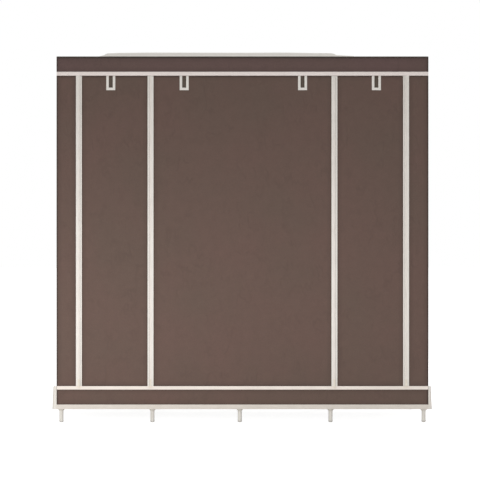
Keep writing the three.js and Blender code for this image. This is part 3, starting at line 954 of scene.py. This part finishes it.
def panel(node, body, finish, borders, relief, way=-back, bands=()):
    """An upright panel as one sheet that faces one way. Returns the piece and its cut size.

    relief takes the panel's size and gives its folds.
    """
    low, high, _ = extent(node)
    along = right if way.x == 0 else back
    size = ((high - low).dot(along), high.z - low.z)
    face = max(low.dot(way), high.dot(way))
    corner = along * low.dot(along) + way * face + up * low.z

    def place(p, q, lift):
        return corner + along * p + up * q + way * lift

    bm = sheet_of_cloth(size, place, way, borders, relief(size), bands)
    name = node.replace("_panel", "").replace("_band", "") + "_cloth"
    made = piece(bm, name, [finish], body, [node])
    return thickened(made), size


def taut(still, run, seed, *folds):
    return lambda size: slack(size, still, run, seed, *folds)


borders = (panel_edge, panel_edge, header_trim_width, 0.003)
header, header_size = panel(
    "header_band", "wardrobe", header_cloth, borders,
    taut((0.004, 0.004, 0.018, 0.006), 0.04, 3.1, 0.0007, 0.0008, 0.0004),
)
borders = (panel_edge, panel_edge, trim_cover, trim_cover)
skirt, skirt_size = panel(
    "skirt_panel", "wardrobe", brown_cloth, borders,
    taut((0.004, 0.004, 0.009, 0.009), 0.03, 4.6, 0.0005, 0.001, 0.0005),
)
strips, side_panels, doors = {}, {}, {}
for side, way, seed in (("left", -1, 11.2), ("right", 1, 17.9)):
    edges = (panel_edge, tape_wide) if way < 0 else (tape_wide, panel_edge)
    strips[side] = panel(
        f"front_strip_{side}", "wardrobe", brown_cloth, (*edges, trim_cover, 0),
        taut((*edges, trim_cover, 0.01), 0.035, seed, 0.0007, 0.0014),
    )
for name, edge, seed in (
    ("left_door", tape_narrow, 23.4), ("middle_door", tape_wide, 29.8),
    ("right_door", tape_narrow, 41.3),
):
    doors[name] = panel(
        f"{name}_panel", name, brown_cloth, (edge, edge, 0.0032, 0),
        taut((edge, edge, 0.006, tab_zone), 0.1, seed),
    )

wall_height = extent("back_panel")[1].z - extent("back_panel")[0].z
trim_place = header_trim_middle.z - extent("back_panel")[0].z
trim_band = [(trim_place, header_trim_width / 2)]
above_trim = wall_height - trim_place + header_trim_width / 2
wall_borders = (0.0015, 0.0015, hem_zone, panel_edge)
wall_bulge = 0.001


def wall_folds(seed, broad):
    still = (0.003, 0.003, hem_zone, above_trim)
    return lambda size: hung_folds(size, still, 0.12, seed, wall_bulge, broad)


for side, way, seed in (("left", -1, 51.2), ("right", 1, 57.9)):
    side_panels[side] = panel(
        f"side_panel_{side}", "wardrobe", brown_cloth, wall_borders,
        wall_folds(seed, 0.0058), right * way, trim_band,
    )
back_panel, back_size = panel(
    "back_panel", "wardrobe", brown_cloth, wall_borders, wall_folds(71.5, 0.0068), back, trim_band
)


# Roof: a slack sheet whose middle stands up behind the header

roof_low, roof_high, _ = extent("roof")
roof_size = (roof_high.x - roof_low.x, roof_high.y - roof_low.y)
roof_flat = roof_low.z + 0.0025
roof_step = 0.0065
roof_wave = 0.0011
roof_small_wave = 0.0005
roof_edge_drop = 0.0022     # where the sheet turns down to its seam
roof_edge_run = 0.009
crown_front = 0.036         # from the front edge to where the middle stands at its full rise
crown_back = 0.09
crown_middle = -0.1
crown_run = 0.3             # how far back it narrows and sinks
crown_narrower = 0.06
crown_sway = 0.05
crown_sink = 0.25           # a share of the rise
crown_line = [              # places across the roof, and the rise there
    (-0.665, 0.0), (-0.650, 0.0080), (-0.640, 0.0098), (-0.626, 0.0178), (-0.617, 0.0194),
    (-0.560, 0.0215), (-0.420, 0.0229), (-0.010, 0.0221), (0.180, 0.0229), (0.340, 0.0207),
    (0.405, 0.0200), (0.419, 0.0178), (0.434, 0.0108), (0.500, 0.0075), (0.530, 0.0),
]


def crown(x, y):
    """How far the slack middle stands up. Behind the header it narrows and sinks a little."""
    behind = ease((y - roof_low.y - crown_front) / crown_run)
    way = math.copysign(1, x - crown_middle)
    narrower = crown_narrower + crown_sway * noise.noise(Vector((y / 0.11, way, 4.1)))
    x += way * narrower * behind
    rise = 0
    for (x0, rise0), (x1, rise1) in zip(crown_line, crown_line[1:]):
        if x0 <= x < x1:
            rise = rise0 + (rise1 - rise0) * ease((x - x0) / (x1 - x0))
    return (1 - crown_sink * behind) * rise * min(
        ease((y - roof_low.y) / crown_front), ease((roof_high.y - y) / crown_back)
    )


def roof_place(p, q, lift):
    edge = min(p, q, roof_size[0] - p, roof_size[1] - q)
    x, y = roof_low.x + p, roof_low.y + q
    wave = noise.noise(Vector((x / 0.13, y / 0.12, 8.8)))
    small = noise.noise(Vector((x / 0.045, y / 0.08, 3.3)))
    waves = roof_wave * wave + roof_small_wave * small
    rise = crown(x, y) + waves * ease((edge - 0.04) / 0.1)
    return Vector((x, y, roof_flat + rise - roof_edge_drop * (1 - ease(edge / roof_edge_run))))


roof_borders = (-0.026,) * 4        # so that the seam's shade stays at the very edge
roof_sheet = sheet_of_cloth(roof_size, roof_place, up, roof_borders, step=roof_step)
roof = thickened(
    piece(roof_sheet, "roof_cloth", [roof_finish], "wardrobe", ["roof"], sharp=70)
)


# Cover: seams, and the trim under the header

def box_ring(reach_x, reach_y, z, corner=0.004):
    """Stations round the cover at one height, with rounded corners."""
    made = []
    for sign_x, sign_y, first in ((1, -1, -90), (1, 1, 0), (-1, 1, 90), (-1, -1, 180)):
        centre = Vector((sign_x * (reach_x - corner), sign_y * (reach_y - corner), z))
        for turn in range(arc_steps + 1):
            a = math.radians(first + turn * 90 / arc_steps)
            outwards = Vector((math.cos(a), math.sin(a), 0))
            made.append((centre + outwards * corner, up, outwards))
        reach = reach_x if sign_x == sign_y else reach_y
        run = up.cross(outwards) * 2 * (reach - corner)
        start = made[-1][0]
        count = round(run.length / tape_step)
        made += [(start + run * i / count, up, outwards) for i in range(1, count)]
    return made


header_trim = piece(
    swept(
        tape_profile(header_trim_width),
        box_ring(half_x + lay, half_y + lay, header_trim_middle.z), loop=True,
    ),
    "header_trim", [header_tape], "wardrobe", ["header_binding"],
)
on_tape = lay + tape_thickness - sink
corner_gap = 0.004          # from a corner to the first stitch
seams = []
for way in (-1, 1):
    z = header_trim_middle.z + way * (header_trim_width / 2 - seam_inset)
    for side in (-1, 1):
        start = Vector((corner_gap - half_x, side * (half_y + on_tape), z))
        seams.append(stitches(start, start + right * 2 * (half_x - corner_gap), back * side))
        start = Vector((side * (half_x + on_tape), corner_gap - half_y, z))
        seams.append(stitches(start, start + back * 2 * (half_y - corner_gap), right * side))
header_stitches = sewn(seams, "header_trim_stitches", "wardrobe")

edge_roll = 0.0026
edge_drop = 0.0032          # from the roof's flat part down to its seam
# The roll is in the darker brown: painted shade along the top edge
edge_seam = piece(
    swept(roll_profile(edge_roll), box_ring(half_x, half_y, roof_flat - edge_drop), loop=True),
    "roof_edge_seam", [edge_shade_cloth], "wardrobe", sharp=80,
)

corner_roll = 0.002
corner_inset = 0.0006
corner_sway = 0.0003
corner_runs = [
    (hem_low + lip, header_trim_low.z - lay),
    (header_trim_high.z + lay, roof_low.z),
]
corners = []
for x in (-half_x, half_x):
    for y in (-half_y, half_y):
        outwards = Vector((math.copysign(1, x), math.copysign(1, y), 0)).normalized()
        place = Vector((x, y, 0)) - outwards * corner_inset
        across = outwards.cross(up)
        for z0, z1 in corner_runs:
            ends = (place + up * z0, place + up * z1)
            stations = straight(*ends, across, outwards, corner_sway)
            corners.append(swept(roll_profile(corner_roll, 8), stations))
corner_seams = piece(
    gather(corners), "corner_seams", [corner_cloth], "wardrobe", sharp=80
)


# Zips: tapes with their coil and stitches

tape_margin = 0.001         # beyond the ends of a tape's seam
tape_back = -half_y - lay
tape_face = tape_back - tape_thickness
zip_lines = [extent(f"zip_slider_{i}")[2].x for i in range(1, 5)]


def upright_tape(x0, x1, z0, z1):
    ends = (Vector(((x0 + x1) / 2, tape_back, z)) for z in (z0, z1))
    return swept(tape_profile(x1 - x0), straight(*ends, right, -back, tape_sway, x0))


def coil(x, z0, z1):
    """The zip's teeth, from the left and the right by turns."""
    teeth = []
    for shift, lift in ((-tooth_shift, 0), (tooth_shift, tooth_pitch)):
        start, end = (Vector((shift + way * tooth_reach, 0, lift)) for way in (-1, 1))
        teeth.append(bar(start, end, tooth_pitch / 2, 8))
    bm = gather(teeth)
    repeated(bm, int((z1 - z0) / (2 * tooth_pitch)) - 1, up * 2 * tooth_pitch)
    bmesh.ops.translate(bm, verts=bm.verts, vec=(x, tape_face - coil_rise, z0 + tooth_pitch))
    return bm


def zip_tapes(name, body, node, tapes, coils, seam_lines, z0, z1):
    """Tapes between two heights, the coils on them and rows of stitches at seam_lines."""
    shells = [upright_tape(x0, x1, z0, z1) for x0, x1 in tapes]
    made = [piece(gather(shells), name, [cream_tape], body, [node])]
    if coils:
        teeth = gather([coil(x, z0, z1) for x in coils])
        made.append(
            piece(teeth, f"{name}_coil", [coil_plastic], body, sharp=50)
        )
    seams = []
    for x in seam_lines:
        start = Vector((x, tape_face + sink, z0 + tape_margin))
        seams.append(stitches(start, start + up * (z1 - z0 - 2 * tape_margin), -back))
    made.append(sewn(seams, f"{name}_stitches", body))
    return made


fixed_tapes = {}
for side, way, zip_x in (("left", -1, zip_lines[0]), ("right", 1, zip_lines[3])):
    node = f"zip_tape_{side}"
    low, high, _ = extent(node)
    outer_edge = low.x if way < 0 else high.x
    fixed_tapes[side] = zip_tapes(
        f"{node}_cloth", "wardrobe", node, [(low.x, high.x)], [zip_x],
        [outer_edge - way * seam_inset], low.z, high.z,
    )


# Doors: tapes, hems and the strips that join tapes and tabs to the header's seam

tab_doors = ["left_door", "middle_door", "middle_door", "right_door"]
tabs = [extent(f"tie_tab_{i}") for i in range(1, 5)]
tab_border = 0.0117
tab_end = 0.0117
strip_thickness = 0.00026   # the tabs swing out just in front of it
hem_height = 0.016
hem_fold = 0.0021           # from the door out to its hem
hem_lay = 0.0005            # between the skirt's trim and a door's hem over it
hem_margin = 0.003          # beyond the ends of a hem's seam
strip_lay = 0.00002         # between the cover and a strip
strip_lap = 0.0002          # of a strip over the top of its tab


def door_hem(low, high, bottom):
    """The hem over the skirt's trim, with the fold that sews it to the door behind."""
    hem_back = tape_face - hem_lay
    ends = (Vector((x, hem_back, bottom + hem_height / 2)) for x in (low, high))
    apron = swept(hem_profile(hem_height), straight(*ends, up, -back, tape_sway, low))
    fold_z = bottom + hem_height - edge_round - lip
    ends = (Vector((x, tape_back + sink, fold_z)) for x in (low, high))
    fold = swept(tape_profile(2 * lip, hem_fold, grooves=False), straight(*ends, up, -back))
    seam_z = bottom + hem_height - seam_inset
    start = Vector((low + hem_margin, hem_back - tape_thickness + sink, seam_z))
    run = right * (high - low - 2 * hem_margin)
    return gather([apron, fold]), stitches(start, start + run, -back)


door_zips = {"left_door": [], "middle_door": zip_lines[1:3], "right_door": []}
for name, coils in door_zips.items():
    low, high, _ = extent(f"{name}_panel")
    bind_low, bind_high, _ = extent(f"{name}_binding")
    reach = tape_wide if coils else tape_narrow
    tapes = [(low.x, low.x + reach), (high.x - reach, high.x)]
    seam_lines = [low.x + reach - seam_inset, high.x - reach + seam_inset]
    on_door = zip_tapes(
        f"{name}_tapes", name, f"{name}_binding", tapes, coils, seam_lines, low.z, bind_high.z
    )
    hem, seam = door_hem(low.x, high.x, bind_low.z)
    on_door.append(piece(hem, f"{name}_hem", [trim_tape], name, sharp=50))
    on_door.append(sewn([seam], f"{name}_hem_stitches", name))
    pale = [(x0, x1, bind_high.z + sink) for x0, x1 in tapes]
    brown = []
    for (tab_low, tab_high, _), door in zip(tabs, tab_doors):
        if door == name:
            bottom = tab_high.z - strip_lap
            pale.append((tab_low.x, tab_low.x + tab_border, bottom))
            pale.append((tab_high.x - tab_border, tab_high.x, bottom))
            brown.append((tab_low.x + tab_border, tab_high.x - tab_border, bottom))
    shells = []
    for index, group in enumerate((pale, brown)):
        for x0, x1, z0 in group:
            ends = (Vector(((x0 + x1) / 2, -half_y - strip_lay, z)) for z in (z0, high.z))
            profile = tape_profile(x1 - x0, strip_thickness, grooves=False)
            shells.append(finished(swept(profile, straight(*ends, right, -back)), index))
    strip_name = f"{name}_seam_strips"
    on_door.append(
        piece(gather(shells), strip_name, [cream_tape, brown_cloth], name)
    )


# Skirt: trim, hem and the ends that stand out past the corners

skirt_low, skirt_high, _ = extent("skirt_binding")
hem_high = extent("skirt_panel")[0].z + trim_cover
hem_drop = 0.002
hem_bottom = skirt_low.z - hem_drop
hem_width = hem_high - hem_bottom
trim_bottom = extent("middle_door_binding")[0].z
door_play = 0.0008          # between a door and the trim below it
side_play = 0.0004
trim_step = extent("middle_door_panel")[0].z - door_play
step_x = extent("front_strip_right")[0].x - side_play
end_start = half_x + 0.0011
end_reach = {-1: skirt_high.x + 0.0013, 1: skirt_high.x - 0.0022}
end_slant = 0.005
end_roll = 0.0014
end_wave = 0.0003
end_rows = 12
end_seam = 0.0024           # from an end's inner edge to its stitches
end_margin = 0.0025         # beyond the ends of that seam
trim_margin = 0.002
side_hem_gap = 0.003        # at the front, behind the skirt's ends


def band(x0, x1, z0, z1, profile, seed):
    ends = (Vector((x, tape_back, (z0 + z1) / 2)) for x in (x0, x1))
    return swept(profile, straight(*ends, up, -back, tape_sway, seed))


def skirt_end(side):
    """The skirt's end, wider below, slightly waved, and the roll along its outer edge."""
    flat, edge = [], []
    for i in range(end_rows + 1):
        share = i / end_rows
        z = hem_bottom + (skirt_high.z - hem_bottom) * share
        reach = end_reach[side] - end_slant * share - end_start - end_roll
        wave = end_wave * noise.noise(Vector((z / 0.03, side, 3)))
        base = Vector((side * end_start, tape_back - wave, z))
        flat.append((base, right * side * reach, -back))
        edge.append((base + right * side * reach - back * 0.6 * tape_thickness, right, -back))
    t = tape_thickness
    profile = [
        (0, 0), (0, t), (0.1, t), (0.14, t - groove_depth), (0.18, t), (0.78, t),
        (0.86, t - 0.0005), (1, t - 0.0003), (1, 0.0002), (0.9, 0),
    ]
    return swept(profile, flat), swept(roll_profile(end_roll), edge)


narrow, wide = trim_step - trim_bottom, skirt_high.z - trim_bottom
skirt_trim = gather([
    band(-step_x, step_x, trim_bottom, trim_step, tape_profile(narrow), 1.3),
    band(-half_x, -step_x, trim_bottom, skirt_high.z, tape_profile(wide), 2.9),
    band(step_x, half_x, trim_bottom, skirt_high.z, tape_profile(wide), 3.3),
])
hem_reach = half_x + 0.002
front_hem = band(-hem_reach, hem_reach, hem_bottom, hem_high, hem_profile(hem_width), 4.4)
(left_end, left_roll), (right_end, right_roll) = skirt_end(-1), skirt_end(1)
# The ends' outer rolls take the darker pale: painted shade along those edges
skirt_frame = piece(
    gather([
        finished(skirt_trim, 0), finished(front_hem, 1),
        finished(gather([left_end, right_end]), 2), finished(gather([left_roll, right_roll]), 3),
    ]),
    "skirt_trim", [trim_tape, hem_tape, end_cloth, end_edge_painted_shade], "wardrobe", ["skirt_binding"],
    sharp=50,
)
seams = []
for z in (trim_bottom + seam_inset, hem_high - seam_inset):
    start = Vector((trim_margin - half_x, tape_face + sink, z))
    seams.append(stitches(start, start + right * 2 * (half_x - trim_margin), -back))
for side in (-1, 1):
    start = Vector((side * (end_start + end_seam), tape_face + sink, skirt_low.z + end_margin))
    run = up * (skirt_high.z - skirt_low.z - 2 * end_margin)
    seams.append(stitches(start, start + run, -back))
skirt_stitches = sewn(seams, "skirt_trim_stitches", "wardrobe")

hem_middle = (hem_bottom + hem_high) / 2
hems, seams = [], []
for way, along, reach, far in (
    (-right, back, half_y - side_hem_gap, half_x),
    (right, back, half_y - side_hem_gap, half_x),
    (back, right, half_x + lay + tape_thickness, half_y),
):
    middle = way * (far + lay) + up * hem_middle
    ends = (middle - along * reach, middle + along * reach)
    hems.append(swept(hem_profile(hem_width), straight(*ends, up, way, tape_sway, far)))
    run = reach - stitch_margin
    start = way * (far + on_tape) + up * (hem_high - seam_inset) - along * run
    seams.append(stitches(start, start + along * 2 * run, way))
side_hem = piece(
    gather(hems), "side_and_back_hem", [hem_tape], "wardrobe", sharp=50
)
side_hem_stitches = sewn(seams, "side_and_back_hem_stitches", "wardrobe")


# Tie tabs: a brown middle with a bound edge on three sides

tab_tuck = 0.0015           # of the brown middle under the bound edge
tab_step = 0.003
tab_cloth_thickness = 0.0005
tab_curl = 0.0004           # of the tab's lower end, away from the door
tab_rise = 0.0006           # of the middle over the back of the bound edge
tab_wave = 0.0002
tab_seam = 0.0016           # from the middle's edge to the stitches


def tab(i, low, high):
    half, middle_x = (high.x - low.x) / 2, (low.x + high.x) / 2
    curl = -back * tab_curl
    edge, end = tab_border / 2, tab_end / 2
    left_x, right_x = low.x + edge, high.x - edge
    bottom, halfway = low.z + end, (low.z + high.z) / 2
    corner_left, corner_right = (Vector((way, 0, end / edge)) for way in (1, -1))
    stations = [
        (Vector((left_x, high.y, high.z)), right, -back),
        (Vector((left_x, high.y, halfway)), right, -back),
        (Vector((left_x, high.y, bottom)) + curl, corner_left, -back),
        (Vector((right_x, high.y, bottom)) + curl, corner_right, -back),
        (Vector((right_x, high.y, halfway)), -right, -back),
        (Vector((right_x, high.y, high.z)), -right, -back),
    ]
    size = (2 * (half - tab_border) + 2 * tab_tuck, high.z - low.z - tab_end + tab_tuck)

    def place(p, q, lift):
        rise = tab_rise + tab_wave * noise.noise(Vector((p / 0.01, q / 0.02, middle_x)))
        return Vector((middle_x - size[0] / 2 + p, high.y - rise, high.z - size[1] + q))

    body = f"tab_{i}"
    name = f"tie_tab_{i}"
    borders = (tab_tuck, tab_tuck, tab_tuck, 0)
    centre = sheet_of_cloth(size, place, -back, borders, step=tab_step)
    made = piece(centre, f"{name}_cloth", [tab_cloth], body, [name])
    thickened(made, tab_cloth_thickness)
    edging = piece(
        swept(tape_profile(tab_border), stations), f"{name}_edging", [cream_tape], body,
    )
    face = high.y - tape_thickness + sink
    in_x, in_z = half - tab_border + tab_seam, low.z + tab_end - tab_seam
    points = [
        Vector((middle_x + x, face, z))
        for x, z in ((-in_x, high.z - 0.002), (-in_x, in_z), (in_x, in_z), (in_x, high.z - 0.002))
    ]
    seams = [stitches(a, b, -back) for a, b in zip(points, points[1:])]
    seam = sewn(seams, f"{name}_stitches", body)


for i, (low, high, _) in enumerate(tabs, 1):
    tab(i, low, high)


# Sliders and pulls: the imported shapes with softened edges

slider_soft = 0.00028
pull_soft = 0.0002


def lacquered_part(node, soft):
    source = frame["nodes"][node]
    bm = fresh()
    bm.from_mesh(source.data)
    bmesh.ops.remove_doubles(bm, verts=bm.verts, dist=weld)
    bmesh.ops.dissolve_limit(bm, angle_limit=math.radians(1), verts=bm.verts, edges=bm.edges)
    made = piece(
        bm, f"{node}_lacquered", [slider_lacquer], body_of(source)[0], [node],
        sharp=30,
    )
    edges = made.modifiers.new("soft edges", "BEVEL")
    edges.width = soft
    edges.segments = 2
    edges.profile = 0.5
    edges.limit_method = "ANGLE"
    edges.angle_limit = math.radians(35)


for i in range(1, 5):
    lacquered_part(f"zip_slider_{i}", slider_soft)
    lacquered_part(f"zip_pull_{i}", pull_soft)


# The cover's strips and side panels with their cut sizes, and the fixed tapes, side by side

for side in ("left", "right"):
    strip, size = strips[side]
    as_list(fixed_tapes[side])
    side_panel, size = side_panels[side]


# Studio: white floor and background, and soft boxes low in front, behind and above

ambient_strength = 0.605
floor_size = 30
floor_grey = 0.86           # what the object gets back from the floor
seen_floor_grey = 0.45      # what the camera sees of it, which holds the shadow
seen_floor_glow = 0.89


def seen_rays(tree):
    """1 for the rays that see the background: camera, glossy and transmission ones."""
    path = tree.nodes.new("ShaderNodeLightPath")
    total = path.outputs["Is Camera Ray"]
    for name in ("Is Glossy Ray", "Is Transmission Ray"):
        larger = tree.nodes.new("ShaderNodeMath")
        larger.operation = "MAXIMUM"
        tree.links.new(total, larger.inputs[0])
        tree.links.new(path.outputs[name], larger.inputs[1])
        total = larger.outputs[0]
    return total


def chosen(tree, unseen, seen, output):
    """Sends one shader to the rays that see the background, and the other to the rest."""
    choice = tree.nodes.new("ShaderNodeMixShader")
    tree.links.new(seen_rays(tree), choice.inputs[0])
    tree.links.new(unseen, choice.inputs[1])
    tree.links.new(seen, choice.inputs[2])
    tree.links.new(choice.outputs[0], tree.nodes.new(output).inputs[0])


def shader(tree, kind, grey, strength=None):
    made = tree.nodes.new(kind)
    made.inputs["Color"].default_value = (grey, grey, grey, 1)
    if strength is not None:
        made.inputs["Strength"].default_value = strength
    return made.outputs[0]


world = bpy.data.worlds.new("studio")
bpy.context.scene.world = world
world.use_nodes = True
tree = world.node_tree
tree.nodes.clear()
ambient = shader(tree, "ShaderNodeBackground", 1, ambient_strength)
chosen(tree, ambient, shader(tree, "ShaderNodeBackground", 1, 1), "ShaderNodeOutputWorld")

floor_bm = bmesh.new()
bmesh.ops.create_grid(floor_bm, x_segments=1, y_segments=1, size=floor_size)
floor_mesh = bpy.data.meshes.new("floor")
floor_bm.to_mesh(floor_mesh)
floor_bm.free()
floor = bpy.data.objects.new("floor", floor_mesh)
bpy.context.scene.collection.objects.link(floor)
floor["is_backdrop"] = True
white_floor = bpy.data.materials.new("white_floor")
white_floor.use_nodes = True
tree = white_floor.node_tree
tree.nodes.clear()
lifted = tree.nodes.new("ShaderNodeAddShader")
tree.links.new(shader(tree, "ShaderNodeBsdfDiffuse", seen_floor_grey), lifted.inputs[0])
tree.links.new(shader(tree, "ShaderNodeEmission", 1, seen_floor_glow), lifted.inputs[1])
plain = shader(tree, "ShaderNodeBsdfDiffuse", floor_grey)
chosen(tree, plain, lifted.outputs[0], "ShaderNodeOutputMaterial")
floor_mesh.materials.append(white_floor)


def soft_box(name, place, aim, width, height, power):
    data = bpy.data.lights.new(name, "AREA")
    data.shape = "RECTANGLE"
    data.size = width
    data.size_y = height
    data.energy = power
    lamp = bpy.data.objects.new(name, data)
    lamp.location = place
    lamp.rotation_euler = (Vector(aim) - Vector(place)).to_track_quat("-Z", "Y").to_euler()
    lamp.visible_camera = False
    bpy.context.scene.collection.objects.link(lamp)


soft_box("front soft box", (-0.82, -1.6, 0.48), (-0.5, -0.225, 0.1), 3.8, 0.25, 17.8)
soft_box("rear soft box", (2.7, 2.2, 1.2), (0.3, 0.1, 0.85), 1.6, 1.6, 50)
soft_box("top soft box", (0.0, 0.3, 3.6), (0.0, 0.1, 1.7), 2.2, 0.9, 13)

bpy.context.scene.view_settings.view_transform = "Standard"

low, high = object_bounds()
boxes = {"cad": [list(cad_low), list(cad_high)], "visual": [list(low), list(high)]}
